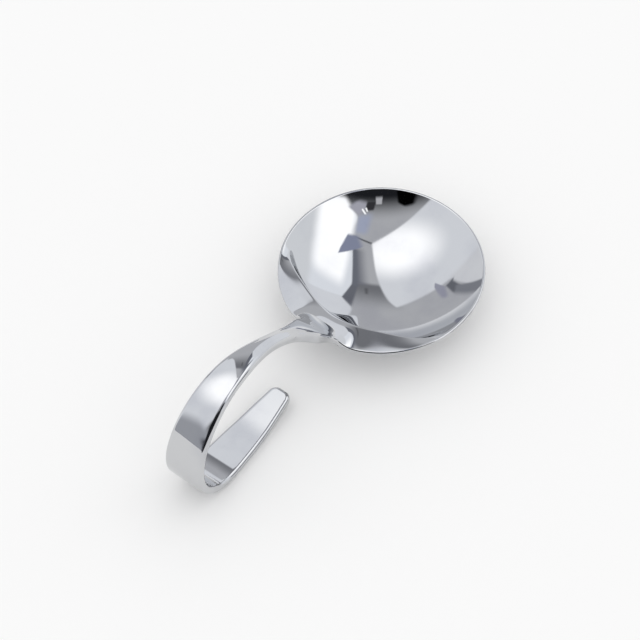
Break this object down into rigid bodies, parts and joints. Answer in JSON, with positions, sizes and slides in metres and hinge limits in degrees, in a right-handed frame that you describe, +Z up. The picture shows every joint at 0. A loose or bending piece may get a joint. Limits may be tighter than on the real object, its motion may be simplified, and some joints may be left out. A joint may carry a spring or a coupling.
{
  "type": "appetizer spoon",
  "caption": "Round-bowled serving spoon whose strap handle arches up and curls back under itself, so it stands level on a table while holding a bite of food.",
  "frame": {"origin": "under the middle of the whole spoon, on the level that it stands on", "axes": "+Z up, +X from the curled strap towards the bowl's far lip, +Y across the spoon; the plane y = 0 halves it"},
  "size_m": [0.0992, 0.05, 0.0318],
  "materials": {
    "polished_steel": "mirror-polished stainless steel"
  },
  "bodies": {
    "root": {"spoon": "polished_steel"}
  },
  "joints": []
}
